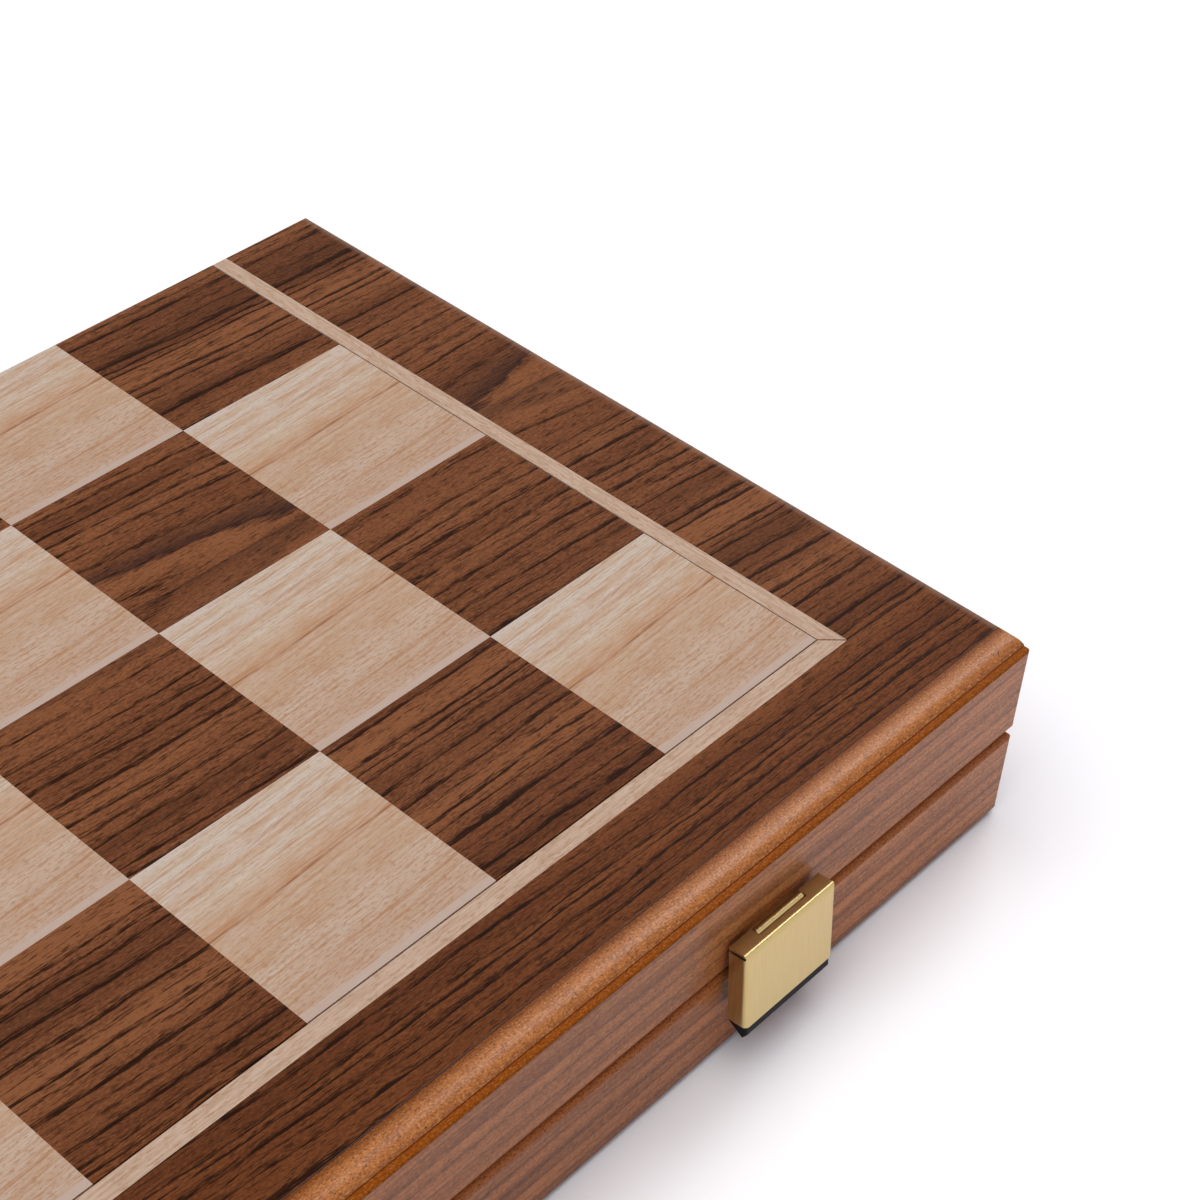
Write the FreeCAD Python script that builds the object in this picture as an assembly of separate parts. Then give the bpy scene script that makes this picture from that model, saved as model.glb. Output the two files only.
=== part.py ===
import FreeCAD, Part
import math
import os

# Folding chess and backgammon case, shut, lying on its lower chess face.
# X runs along the hinge, the clasps are at -Y, the hinge at +Y, and Z is up from the surface it lies on.
# All lengths are in millimetres.

# Chess face of one half
square = 41.0            # side of a chess square
files = 8                # squares along the hinge
ranks = 4                # rows of squares from the hinge to the front
hinge_trim = 2.0         # what the fold takes off the row beside it
stripe_width = 4.0       # pale inlaid stripe round the squares
side_border = 23.0       # walnut outside the stripe, left and right
front_border = 17.0      # flat walnut outside the stripe, at the front
joint_line = 0.3         # open glue line beside and across the stripe

# Case
half_height = 21.5       # outside height of one half
wall = 10.0              # outer face to inner face of a wall
core_thickness = 4.4     # fibreboard of the panel
veneer = 0.6             # every veneer and lining
rim_gap = 0.3            # between the two rims when shut
rim_round = 1.8          # rounding of the outer rim
corner_round = 0.5       # rounding of the upright corners
edge_round = 0.8         # softening of the chess face's edges

# Moulding along the front edge
moulding_width = 7.0     # from the end of the veneer to the front wall
bead_flat = 2.4          # level part of the bead, beside the veneer
bead_width = 5.6         # whole bead
bead_drop = 0.85         # fall of the bead's curve
bead_step = 0.25         # upright step from the bead to the ledge
ledge_round = 0.5        # rounding of the ledge into the front wall
veneer_step = 0.15       # the veneer stands proud of the bead

# Backgammon field
points_per_end = 6       # points along each end of one half
point_gap = 2.4          # bare ground between the bases of two points
centre_strip = 64.0      # bare ground between the tips of facing points

# Butt hinges, let into the two rims
hinge_inset = 76.0       # end of the case to the middle of a hinge
hinge_length = 38.0
leaf_thickness = 1.0
leaf_margin = 1.4        # rail left between a leaf and the lining
barrel_radius = 2.2
barrel_clearance = 0.4   # round a turning barrel
axis_offset = 0.25       # hinge axis outside the back face
knuckles = 5             # knuckles of one hinge, both leaves together
knuckle_gap = 0.2
hinge_pin_radius = 1.0
hinge_pin_head_radius = 1.5
hinge_pin_head = 0.6     # length of a pin head
running_clearance = 0.05  # round every pin
seat_clearance = 0.1     # round a leaf in its mortise

# Screws
hinge_screw_shank = 1.0  # radius
hinge_screw_head = 1.9   # radius
hinge_screw_cover = 8.0  # rail left beyond the screw's point
hinge_screws = 3         # in one leaf
clasp_screw_shank = 0.8  # radius
clasp_screw_head = 1.5   # radius
clasp_screw_cover = 3.6  # rail left beyond the screw's point
clasp_screw_spread = 4.4  # from the middle of the clasp
screw_clearance = 0.05
driver_slot = 0.5        # width of the cross in a screw head
driver_depth = 0.6
driver_arm_share = 0.6   # reach of the cross, of the head's radius

# Clasps
clasp_inset = 71.5       # end of the case to the middle of a clasp
clasp_width = 23.4
clasp_height = 16.85     # brass cover, top to bottom
clasp_sheet = 0.5        # brass of the cover
clasp_lean = 5.4         # degrees that the shut cover leans out
clasp_fold_round = 1.0   # outer rounding of the cover's folds
corner_slit = 0.6        # open slit under the ends of the top flange
pivot_stand = 1.5        # front wall to the clasp's pivot
pivot_rise = 6.8         # seam to the pivot
pivot_to_front = 3.25    # pivot to the face of the cover
pivot_to_back = 0.75     # pivot to the back edge of the cover
pivot_to_top = 1.05      # pivot to the top of the cover
tab_width = 12.0         # rolled knuckle of the back plate
tab_radius = 1.1
tab_clearance = 0.15
clasp_pin_radius = 0.35
plate_thickness = 0.8    # back plate and keeper
plate_width = 14.0
plate_reach = 4.85       # pivot to the lower end of the back plate
plate_shoulder = 1.45    # pivot to the wide part of the back plate
insert_clearance = 0.05  # black insert in the brass cover
channel_clearance = 0.6  # insert beside the back plate and the keeper
tip_drop = 2.8           # black tip below the brass
tip_inset = 0.3          # tip behind the faces of the brass
tip_bevel = 0.75         # bevel along the tip's front edge
tip_heel = 0.5           # height of the tip at its back edge
keeper_drop = 2.2        # seam to the top of the keeper
keeper_height = 6.6
keeper_ridge = 1.0       # radius of the keeper's rolled ridge
keeper_ridge_length = 10.0

overrun = 1.0            # cutters reach this far past what they cut

# Worked out from the sizes above
seam = half_height
top = half_height + half_height
rim = seam + rim_gap / 2
length = files * square + 2 * (stripe_width + side_border)
depth = ranks * square - hinge_trim + stripe_width + front_border + moulding_width
end = length / 2
back = depth / 2
front = -depth / 2
fold_line = back + hinge_trim
field_end = files * square / 2
field_front = fold_line - ranks * square
stripe_end = field_end + stripe_width
stripe_front = field_front - stripe_width
veneer_front = stripe_front - front_border
core_top = top - veneer
core_bottom = core_top - core_thickness
field_bottom = core_bottom - veneer
ledge_level = top - veneer_step - bead_drop - bead_step
face_top = ledge_level - ledge_round
face_bottom = rim + rim_round
inside_end = end - wall
inside_back = back - wall
rail_face = wall - veneer
hinge_axis = back + axis_offset
hinge_middle = end - hinge_inset
clasp_middle = end - clasp_inset
pivot_y = front - pivot_stand
pivot_z = seam + pivot_rise


def point(x, y, z):
    return FreeCAD.Vector(x, y, z)


def block(x_low, x_high, y_low, y_high, z_low, z_high):
    return Part.makeBox(x_high - x_low, y_high - y_low, z_high - z_low, point(x_low, y_low, z_low))


def rod(radius, x_low, x_high, y, z):
    return Part.makeCylinder(radius, x_high - x_low, point(x_low, y, z), point(1, 0, 0))


def plate_of(corners, z_low, z_high):
    places = [point(x, y, z_low) for x, y in corners]
    outline = Part.makePolygon(places + places[:1])
    return Part.Face(outline).extrude(point(0, 0, z_high - z_low))


def other_half(shape):
    turned = shape.copy()
    turned.rotate(point(0, 0, seam), point(0, 1, 0), 180)
    return turned


def other_name(name):
    swap = {"left": "right", "right": "left"}
    return "_".join(swap.get(word, word) for word in name.split("_"))


def save(name, shape):
    shape.exportStep("parts/" + name + ".step")


def group(solids):
    return Part.makeCompound(solids)


# The outside of one half, with every outer edge rounded

def run_of(edge):
    first, last = [vertex.Point for vertex in edge.Vertexes]
    return last - first


def level_at(edge, z):
    return all(abs(vertex.Point.z - z) < rim_gap for vertex in edge.Vertexes)


def outside():
    body = block(-end, end, front, back, rim, top)
    shape = body.makeFillet(corner_round, [edge for edge in body.Edges if abs(run_of(edge).z) > rim_gap])
    for level, radius in ((rim, rim_round), (top, edge_round)):
        level_edges = [edge for edge in body.Edges if level_at(edge, level)]
        for direction in (point(1, 0, 0), point(0, 1, 0)):
            pair = [edge for edge in level_edges if abs(run_of(edge).dot(direction)) > rim_gap]
            shape = shape.common(body.makeFillet(radius, pair))
    return shape


shell = outside()


# Walnut face veneers: a band round the four walls, cut into one length for each wall

def face_band():
    low_band = block(-end, end, front, back, face_bottom, face_top)
    high_band = block(-end, end, veneer_front, back, face_top, core_top)
    within = block(-end + veneer, end - veneer, front + veneer, back - veneer, rim, top)
    return low_band.fuse(high_band).common(shell).cut(within)


band = face_band()


def face_veneers():
    long_low = -end - overrun
    long_high = end + overrun
    sides = (front + veneer, back - veneer, rim, top)
    return {
        "front_face_veneer": band.common(block(long_low, long_high, front - overrun, front + veneer, rim, top)),
        "hinge_face_veneer": band.common(block(long_low, long_high, back - veneer, back + overrun, rim, top)),
        "left_face_veneer": band.common(block(long_low, -end + veneer, *sides)),
        "right_face_veneer": band.common(block(end - veneer, long_high, *sides)),
    }


# Fibreboard frame and panel

def front_rail():
    bead_start = top - veneer_step
    bead_run = bead_width - bead_flat
    bead_radius = (bead_run ** 2 + bead_drop ** 2) / (2 * bead_drop)
    bead_turn = math.asin(bead_run / bead_radius)
    crown = veneer_front - bead_flat
    bead_end = veneer_front - bead_width
    bead_middle = point(
        -end,
        crown - bead_radius * math.sin(bead_turn / 2),
        bead_start - bead_radius * (1 - math.cos(bead_turn / 2)),
    )
    ledge_bend = ledge_round * (1 - math.sqrt(0.5))
    ledge_middle = point(-end, front + ledge_bend, ledge_level - ledge_bend)
    inner = front + rail_face
    corners = [
        point(-end, front, face_top),
        point(-end, front, rim),
        point(-end, inner, rim),
        point(-end, inner, core_bottom),
        point(-end, veneer_front, core_bottom),
        point(-end, veneer_front, bead_start),
        point(-end, crown, bead_start),
    ]
    bead_lip = point(-end, bead_end, ledge_level + bead_step)
    bead_foot = point(-end, bead_end, ledge_level)
    ledge_edge = point(-end, front + ledge_round, ledge_level)
    edges = [Part.LineSegment(a, b).toShape() for a, b in zip(corners, corners[1:])]
    edges.append(Part.Arc(corners[-1], bead_middle, bead_lip).toShape())
    edges.append(Part.LineSegment(bead_lip, bead_foot).toShape())
    edges.append(Part.LineSegment(bead_foot, ledge_edge).toShape())
    edges.append(Part.Arc(ledge_edge, ledge_middle, corners[0]).toShape())
    section = Part.Face(Part.Wire(edges))
    return section.extrude(point(length, 0, 0)).common(shell).cut(band)


def straight_rail(x_low, x_high, y_low, y_high):
    return block(x_low, x_high, y_low, y_high, rim, core_bottom).common(shell).cut(band)


def rails():
    between = (front + rail_face, back - rail_face)
    return {
        "front_rail": front_rail(),
        "hinge_rail": straight_rail(-end, end, back - rail_face, back),
        "left_rail": straight_rail(-end, -end + rail_face, *between),
        "right_rail": straight_rail(end - rail_face, end, *between),
    }


def panel_core():
    return block(-end, end, veneer_front, back, core_bottom, core_top).common(shell).cut(band)


def wall_linings():
    levels = (rim, core_bottom)
    outer_back = back - rail_face
    outer_end = end - rail_face
    return group([
        block(-outer_end, outer_end, -outer_back, -inside_back, *levels),
        block(-outer_end, outer_end, inside_back, outer_back, *levels),
        block(-outer_end, -inside_end, -inside_back, inside_back, *levels),
        block(inside_end, outer_end, -inside_back, inside_back, *levels),
    ])


# Chess face

def chess_squares(dark):
    squares = []
    for column in range(files):
        for row in range(ranks):
            if ((column + row) % 2 == 1) != dark:
                continue
            left = -field_end + column * square
            near = fold_line - row * square - square
            piece = block(left, left + square, near, near + square, core_top, top)
            squares.append(piece.common(shell) if row == 0 else piece)
    return group(squares)


def stripe():
    inner_end = field_end + joint_line
    inner_front = field_front - joint_line
    mitre = joint_line / math.sqrt(2)
    side_corners = [
        (inner_end, fold_line),
        (inner_end, inner_front + mitre),
        (stripe_end, stripe_front + mitre),
        (stripe_end, fold_line),
    ]
    front_corners = [
        (-inner_end + mitre, inner_front),
        (-stripe_end + mitre, stripe_front),
        (stripe_end - mitre, stripe_front),
        (inner_end - mitre, inner_front),
    ]
    right_length = plate_of(side_corners, core_top, top).common(shell)
    left_length = right_length.mirror(point(0, 0, 0), point(1, 0, 0))
    return group([right_length, left_length, plate_of(front_corners, core_top, top)])


def border_veneer():
    sheet = block(-end, end, veneer_front, back, core_top, top).common(shell)
    opening = block(-stripe_end, stripe_end, stripe_front, back + overrun, core_top - overrun, top + overrun)
    return sheet.cut(opening)


# Backgammon field on the inside of the panel

def field_points(dark):
    pitch = 2 * inside_back / points_per_end
    base = pitch - point_gap
    tip = centre_strip / 2
    triangles = []
    for side in (-1, 1):
        for place in range(points_per_end):
            if (place % 2 == 1) != (dark == (side > 0)):
                continue
            middle = -inside_back + (place + 0.5) * pitch
            corners = [
                (side * inside_end, middle - base / 2),
                (side * inside_end, middle + base / 2),
                (side * tip, middle),
            ]
            triangles.append(plate_of(corners, field_bottom, core_bottom))
    return triangles


def field_veneer(inlaid):
    sheet = block(-inside_end, inside_end, -inside_back, inside_back, field_bottom, core_bottom)
    return sheet.cut(inlaid)


def half():
    dark_points = field_points(True)
    pale_points = field_points(False)
    pieces = {
        "panel_core": panel_core(),
        "dark_squares": chess_squares(True),
        "pale_squares": chess_squares(False),
        "stripe": stripe(),
        "border_veneer": border_veneer(),
        "field_veneer": field_veneer(dark_points + pale_points),
        "dark_points": group(dark_points),
        "pale_points": group(pale_points),
        "wall_linings": wall_linings(),
    }
    pieces.update(rails())
    pieces.update(face_veneers())
    return pieces


# Screws: countersunk, with a cross in the head, pointing along +Z from the head's face at the origin

def screw(shank, head, reach):
    cone = Part.makeCone(head, shank, head - shank)
    body = cone.fuse(Part.makeCylinder(shank, reach)).removeSplitter()
    arm = head * driver_arm_share
    slot = driver_slot / 2
    cross = [
        block(-arm, arm, -slot, slot, 0, driver_depth),
        block(-slot, slot, -arm, arm, 0, driver_depth),
    ]
    return body.cut(cross)


def screw_seat(shank, head, reach):
    wide_head = head + screw_clearance
    wide_shank = shank + screw_clearance
    mouth = Part.makeCylinder(wide_head, overrun, point(0, 0, -overrun))
    hole = Part.makeCylinder(wide_shank, reach + screw_clearance)
    return Part.makeCone(wide_head, wide_shank, head - shank).fuse([mouth, hole])


def placed(shape, place, turn_axis=None, turn=0):
    moved = shape.copy()
    if turn_axis:
        moved.rotate(point(0, 0, 0), turn_axis, turn)
    moved.translate(place)
    return moved


# Hinges

leaf_inner = back - wall + veneer + leaf_margin
relief_radius = barrel_radius + barrel_clearance
leaf_screw_y = (leaf_inner + hinge_axis - relief_radius) / 2
hinge_screw_reach = core_bottom - rim - hinge_screw_cover
hinge_screw_sizes = (hinge_screw_shank, hinge_screw_head, hinge_screw_reach)


def knuckle_rods(middle, wanted, radius, gap):
    pitch = hinge_length / knuckles
    rods = []
    for place in range(knuckles):
        if place % 2 != wanted:
            continue
        low = middle - hinge_length / 2 + place * pitch
        rods.append(rod(radius, low + gap, low + pitch - gap, hinge_axis, seam))
    return rods


def upper_leaf(middle, wanted):
    ends = (middle - hinge_length / 2, middle + hinge_length / 2)
    leaf = block(*ends, leaf_inner, hinge_axis, rim, rim + leaf_thickness)
    leaf = leaf.cut(knuckle_rods(middle, 1 - wanted, relief_radius, -knuckle_gap / 2))
    leaf = leaf.fuse(knuckle_rods(middle, wanted, barrel_radius, knuckle_gap / 2)).removeSplitter()
    bore = rod(hinge_pin_radius + running_clearance, ends[0] - overrun, ends[1] + overrun, hinge_axis, seam)
    return leaf.cut(bore)


def leaf_screw_places(middle):
    spacing = hinge_length / hinge_screws
    first = middle - hinge_length / 2 + spacing / 2
    return [point(first + number * spacing, leaf_screw_y, rim) for number in range(hinge_screws)]


def hinge_pin(middle):
    reach = hinge_length / 2
    low = middle - reach
    high = middle + reach
    heads = [
        rod(hinge_pin_head_radius, low - hinge_pin_head, low, hinge_axis, seam),
        rod(hinge_pin_head_radius, high, high + hinge_pin_head, hinge_axis, seam),
    ]
    return rod(hinge_pin_radius, low, high, hinge_axis, seam).fuse(heads).removeSplitter()


def leaf_mortise(middle):
    reach = hinge_length / 2 + seat_clearance
    leaf_room = block(
        middle - reach,
        middle + reach,
        leaf_inner - seat_clearance,
        back + overrun,
        rim - overrun,
        rim + leaf_thickness,
    )
    barrel_reach = hinge_length / 2 + hinge_pin_head + barrel_clearance
    barrel_room = rod(relief_radius, middle - barrel_reach, middle + barrel_reach, hinge_axis, seam)
    return [leaf_room, barrel_room]


# Clasps, modelled upright about the pivot and then leaned out

cover_back = pivot_y + pivot_to_back
cover_front = pivot_y - pivot_to_front
cover_top = pivot_z + pivot_to_top
cover_bottom = cover_top - clasp_height
insert_width = clasp_width - 2 * (clasp_sheet + insert_clearance)
channel_width = plate_width + 2 * channel_clearance
channel_front = pivot_y - tab_radius - tab_clearance
clasp_screw_reach = plate_thickness + wall - veneer - clasp_screw_cover
clasp_screw_sizes = (clasp_screw_shank, clasp_screw_head, clasp_screw_reach)
clasp_pin_reach = insert_width / 2 - insert_clearance
plate_bottom = pivot_z - plate_reach
plate_screw_z = pivot_z - (plate_shoulder + plate_reach) / 2
keeper_top = seam - keeper_drop
keeper_bottom = keeper_top - keeper_height
keeper_screw_z = keeper_top - (keeper_height - 2 * keeper_ridge) / 2


def leaned(shape):
    turned = shape.copy()
    turned.rotate(point(0, pivot_y, pivot_z), point(-1, 0, 0), clasp_lean)
    return turned


def on_fold(edge):
    ends = [vertex.Point for vertex in edge.Vertexes]
    near_front = all(abs(place.y - cover_front) < clasp_sheet for place in ends)
    at_bottom = all(abs(place.z - cover_bottom) < clasp_sheet for place in ends)
    return near_front and not at_bottom


def clasp_cover(middle):
    reach = clasp_width / 2
    body = block(middle - reach, middle + reach, cover_front, cover_back, cover_bottom, cover_top)
    body = body.makeFillet(clasp_fold_round, [edge for edge in body.Edges if on_fold(edge)])
    inner = reach - clasp_sheet
    hollow = block(
        middle - inner,
        middle + inner,
        cover_front + clasp_sheet,
        cover_back + overrun,
        cover_bottom - overrun,
        cover_top - clasp_sheet,
    )
    tab_reach = tab_width / 2 + tab_clearance
    slot = block(
        middle - tab_reach,
        middle + tab_reach,
        channel_front,
        cover_back + overrun,
        cover_top - clasp_sheet - overrun,
        cover_top + overrun,
    )
    slit_top = cover_top - clasp_sheet
    slit_low = slit_top - corner_slit
    slit_front = cover_front + clasp_sheet
    slits = [
        block(x_low, x_high, slit_front, cover_back + overrun, slit_low, slit_top)
        for x_low, x_high in (
            (middle - reach - overrun, middle - inner),
            (middle + inner, middle + reach + overrun),
        )
    ]
    return leaned(body.cut([hollow, slot] + slits))


def insert_tip(middle, lip):
    reach = clasp_width / 2 - tip_inset
    face = cover_front + tip_inset
    tip = cover_bottom - tip_drop
    outline = [
        point(middle - reach, face, lip),
        point(middle - reach, face, tip + tip_bevel),
        point(middle - reach, face + tip_bevel, tip),
        point(middle - reach, cover_back, lip - tip_heel),
        point(middle - reach, cover_back, lip),
    ]
    wedge = Part.Face(Part.makePolygon(outline + outline[:1])).extrude(point(2 * reach, 0, 0))
    room = block(middle - reach, middle + reach, face, cover_back, tip, lip)
    uprights = [edge for edge in room.Edges if abs(run_of(edge).z) > tip_inset]
    corners = [edge for edge in uprights if edge.Vertexes[0].Point.y < pivot_y]
    return wedge.common(room.makeFillet(clasp_fold_round - tip_inset, corners))


def clasp_insert(middle):
    reach = insert_width / 2
    face = cover_front + clasp_sheet + insert_clearance
    crest = cover_top - clasp_sheet - insert_clearance
    lip = cover_bottom - insert_clearance
    body = block(middle - reach, middle + reach, face, cover_back, lip, crest)
    body = body.fuse(insert_tip(middle, lip)).removeSplitter()
    channel = block(
        middle - channel_width / 2,
        middle + channel_width / 2,
        channel_front,
        cover_back + overrun,
        cover_bottom - tip_drop - overrun,
        crest + overrun,
    )
    bore = rod(clasp_pin_radius + running_clearance, middle - reach, middle + reach, pivot_y, pivot_z)
    return leaned(body.cut([channel, bore]))


def clasp_pin(middle):
    return rod(clasp_pin_radius, middle - clasp_pin_reach, middle + clasp_pin_reach, pivot_y, pivot_z)


def clasp_screw_places(middle, z):
    outer = front - plate_thickness
    return [point(middle + side * clasp_screw_spread, outer, z) for side in (-1, 1)]


def clasp_seats(middle, z):
    seat = screw_seat(*clasp_screw_sizes)
    return [placed(seat, place, point(-1, 0, 0), 90) for place in clasp_screw_places(middle, z)]


def clasp_screws(middle, z):
    body = screw(*clasp_screw_sizes)
    return [placed(body, place, point(-1, 0, 0), 90) for place in clasp_screw_places(middle, z)]


def clasp_plate(middle):
    wide = plate_width / 2
    narrow = tab_width / 2
    outer = front - plate_thickness
    neck_bottom = pivot_z - tab_radius
    neck_top = neck_bottom + plate_thickness
    plate = block(middle - wide, middle + wide, outer, front, plate_bottom, pivot_z - plate_shoulder)
    neck = block(middle - narrow, middle + narrow, outer, front, pivot_z - plate_shoulder, neck_top)
    curl = block(middle - narrow, middle + narrow, pivot_y, front, neck_bottom, neck_top)
    tab = rod(tab_radius, middle - narrow, middle + narrow, pivot_y, pivot_z)
    bore = rod(clasp_pin_radius + running_clearance, middle - wide, middle + wide, pivot_y, pivot_z)
    body = plate.fuse([neck, curl, tab]).removeSplitter()
    return body.cut([bore] + clasp_seats(middle, plate_screw_z))


def clasp_keeper(middle):
    wide = plate_width / 2
    outer = front - plate_thickness
    plate = block(middle - wide, middle + wide, outer, front, keeper_bottom, keeper_top)
    ridge_z = keeper_bottom + keeper_ridge
    ridge_reach = keeper_ridge_length / 2
    ridge = rod(keeper_ridge, middle - ridge_reach, middle + ridge_reach, outer, ridge_z)
    ridge = ridge.common(block(middle - wide, middle + wide, outer - keeper_ridge, front, keeper_bottom, keeper_top))
    return plate.fuse(ridge).removeSplitter().cut(clasp_seats(middle, keeper_screw_z))


# Put the case together

def build():
    os.makedirs("parts", exist_ok=True)
    sides = {"left": -1, "right": 1}
    upper = half()
    lower = {other_name(name): other_half(shape) for name, shape in upper.items()}

    mortises = []
    leaf_seats = []
    leaf_screws = []
    for side in sides.values():
        middle = side * hinge_middle
        mortises += leaf_mortise(middle)
        for place in leaf_screw_places(middle):
            leaf_seats.append(placed(screw_seat(*hinge_screw_sizes), place))
            leaf_screws.append(placed(screw(*hinge_screw_sizes), place))
    barrels = mortises[1::2]

    plate_seats = []
    keeper_seats = []
    plate_screws = []
    keeper_screws = []
    for side in sides.values():
        middle = side * clasp_middle
        plate_seats += clasp_seats(middle, plate_screw_z)
        keeper_seats += clasp_seats(middle, keeper_screw_z)
        plate_screws += clasp_screws(middle, plate_screw_z)
        keeper_screws += clasp_screws(middle, keeper_screw_z)

    upper["hinge_rail"] = upper["hinge_rail"].cut(mortises + leaf_seats)
    lower["hinge_rail"] = lower["hinge_rail"].cut([other_half(cutter) for cutter in mortises + leaf_seats])
    for pieces, seats in ((upper, plate_seats), (lower, keeper_seats)):
        pieces["hinge_face_veneer"] = pieces["hinge_face_veneer"].cut(barrels)
        pieces["front_rail"] = pieces["front_rail"].cut(seats)
        pieces["front_face_veneer"] = pieces["front_face_veneer"].cut(seats)

    for name, shape in upper.items():
        save("upper_" + name, shape)
    for name, shape in lower.items():
        save("lower_" + name, shape)

    for side_name, side in sides.items():
        middle = side * hinge_middle
        save("upper_hinge_leaf_" + side_name, upper_leaf(middle, 1).cut(leaf_seats))
        save("lower_hinge_leaf_" + side_name, other_half(upper_leaf(-middle, 0).cut(leaf_seats)))
        save("hinge_pin_" + side_name, hinge_pin(middle))
        middle = side * clasp_middle
        save("clasp_cover_" + side_name, clasp_cover(middle))
        save("clasp_insert_" + side_name, clasp_insert(middle))
        save("clasp_pin_" + side_name, clasp_pin(middle))
        save("clasp_plate_" + side_name, clasp_plate(middle))
        save("clasp_keeper_" + side_name, clasp_keeper(middle))

    save("upper_hinge_screws", group(leaf_screws))
    save("lower_hinge_screws", group([other_half(piece) for piece in leaf_screws]))
    save("clasp_plate_screws", group(plate_screws))
    save("clasp_keeper_screws", group(keeper_screws))


build()
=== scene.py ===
import bpy
import math
from functools import partial
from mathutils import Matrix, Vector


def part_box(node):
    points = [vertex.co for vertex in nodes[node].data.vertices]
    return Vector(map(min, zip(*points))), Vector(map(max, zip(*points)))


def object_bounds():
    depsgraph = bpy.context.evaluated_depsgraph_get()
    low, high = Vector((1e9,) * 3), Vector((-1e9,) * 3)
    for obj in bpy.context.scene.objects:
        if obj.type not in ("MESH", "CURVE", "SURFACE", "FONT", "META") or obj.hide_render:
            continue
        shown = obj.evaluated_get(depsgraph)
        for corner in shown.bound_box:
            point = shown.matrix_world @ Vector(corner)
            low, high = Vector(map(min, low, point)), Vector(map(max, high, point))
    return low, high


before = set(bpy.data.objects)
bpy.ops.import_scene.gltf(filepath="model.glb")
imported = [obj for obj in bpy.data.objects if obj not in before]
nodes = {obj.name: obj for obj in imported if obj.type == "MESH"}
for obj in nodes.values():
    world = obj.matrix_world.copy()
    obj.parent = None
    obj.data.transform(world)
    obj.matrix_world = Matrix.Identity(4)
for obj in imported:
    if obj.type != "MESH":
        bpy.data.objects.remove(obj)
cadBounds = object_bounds()
halves = ("upper", "lower")
sides = ("left", "right")
mm = 0.001  # in metres
noiseMiddle = 0.5  # what every noise swings about
soft = {"interpolation_type": "SMOOTHSTEP"}  # a map range with soft ends
inColour = {"data_type": "RGBA"}  # a mix of two colours
print("frame loaded:", len(nodes), "nodes")


def linear(code):
    # "#rrggbb" as linear RGBA
    parts = [int(code[k:k + 2], 16) / 255 for k in (1, 3, 5)]
    return [c / 12.92 if c <= 0.04045 else ((c + 0.055) / 1.055) ** 2.4 for c in parts] + [1.0]


def plug(socket, value):
    # a node stands for its first result, and a hex code for its colour
    if isinstance(value, bpy.types.Node):
        value = next(result for result in value.outputs if result.enabled)
    if isinstance(value, bpy.types.NodeSocket):
        socket.id_data.links.new(value, socket)
    else:
        socket.default_value = linear(value) if isinstance(value, str) else value


def addNode(tree, kind, *values, stops=(), **named):
    # values fill the live sockets in order, and a name is a socket or else a setting
    # stops are a ramp's places, each with a hex code or a grey level
    node = tree.nodes.new("ShaderNode" + kind)
    for name, value in named.items():
        if name in node.inputs:
            plug(node.inputs[name], value)
        else:
            setattr(node, name, value)
    for socket, value in zip([live for live in node.inputs if live.enabled], values):
        plug(socket, value)
    if stops:
        steps = node.color_ramp.elements
        while len(steps) < len(stops):
            steps.new(1.0)
        for step, (place, tone) in zip(steps, stops):
            step.position = place
            step.color = linear(tone) if isinstance(tone, str) else [tone, tone, tone, 1.0]
    return node


def newMaterial(name, **sockets):
    # the material, its own add function and its shader's sockets
    material = bpy.data.materials.new(name)
    material.use_nodes = True
    tree = material.node_tree
    surface = tree.nodes["Principled BSDF"].inputs
    for key, value in sockets.items():
        surface[key.replace("_", " ")].default_value = value
    return material, partial(addNode, tree), surface


def grainSpace(add, along="X", across="Y", tilt=0.0):
    # millimetres along the grain, across it and through the sheet, from the piece's own coordinates
    parts = add("SeparateXYZ", add("TexCoord").outputs["Object"])
    through = next(axis for axis in "XYZ" if axis not in (along, across))
    turned = add("CombineXYZ", *[parts.outputs[axis] for axis in (along, across, through)])
    return add("Mapping", turned, Scale=(1 / mm, 1 / mm, 1 / mm), Rotation=(0, 0, math.radians(tilt)))


def grain(add, space, size, detail=2.0, roughness=0.5):
    # noise whose patches have this size in millimetres
    squeezed = add("VectorMath", space, [1 / length for length in size], operation="MULTIPLY")
    return add("TexNoise", Vector=squeezed, Scale=1.0, Detail=detail, Roughness=roughness)


def uneven(add, place, size, shift=0.0):
    # noise along one length, with patches of this size in millimetres
    squeezed = add("Math", place, 1 / size, shift, operation="MULTIPLY_ADD")
    return add("TexNoise", noise_dimensions="1D", W=squeezed, Scale=1.0, Detail=2.0)


def patches(add, space, look):
    # a mask of grain patches with soft edges
    return add("MapRange", grain(add, space, look["size"], *look["noise"]), *look["span"], **soft)


def fade(add, mask, by, share):
    # the mask, weaker by up to this share where the other one is low
    remaining = add("Math", by, share, 1 - share, operation="MULTIPLY_ADD")
    return add("Math", mask, remaining, operation="MULTIPLY")


def stainAndPaintedLight(add, colour, mask, share, tone):
    # a tone over the colour where the mask is, up to this share: the woods' own tones, and also painted shade
    # and highlight
    return add("Mix", add("Math", mask, share, operation="MULTIPLY"), colour, tone, **inColour)


def corners(name):
    # a node's lowest and highest corner in millimetres
    return [[round(value / mm, 2) for value in corner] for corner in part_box(name)]


def dress(material, *names):
    for name in names:
        slots = nodes[name].data.materials
        slots.clear()
        slots.append(material)


def onHalves(*names):
    return [half + "_" + name for half in halves for name in names]


def onSides(*names):
    return [name + "_" + side for side in sides for name in names]


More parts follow.
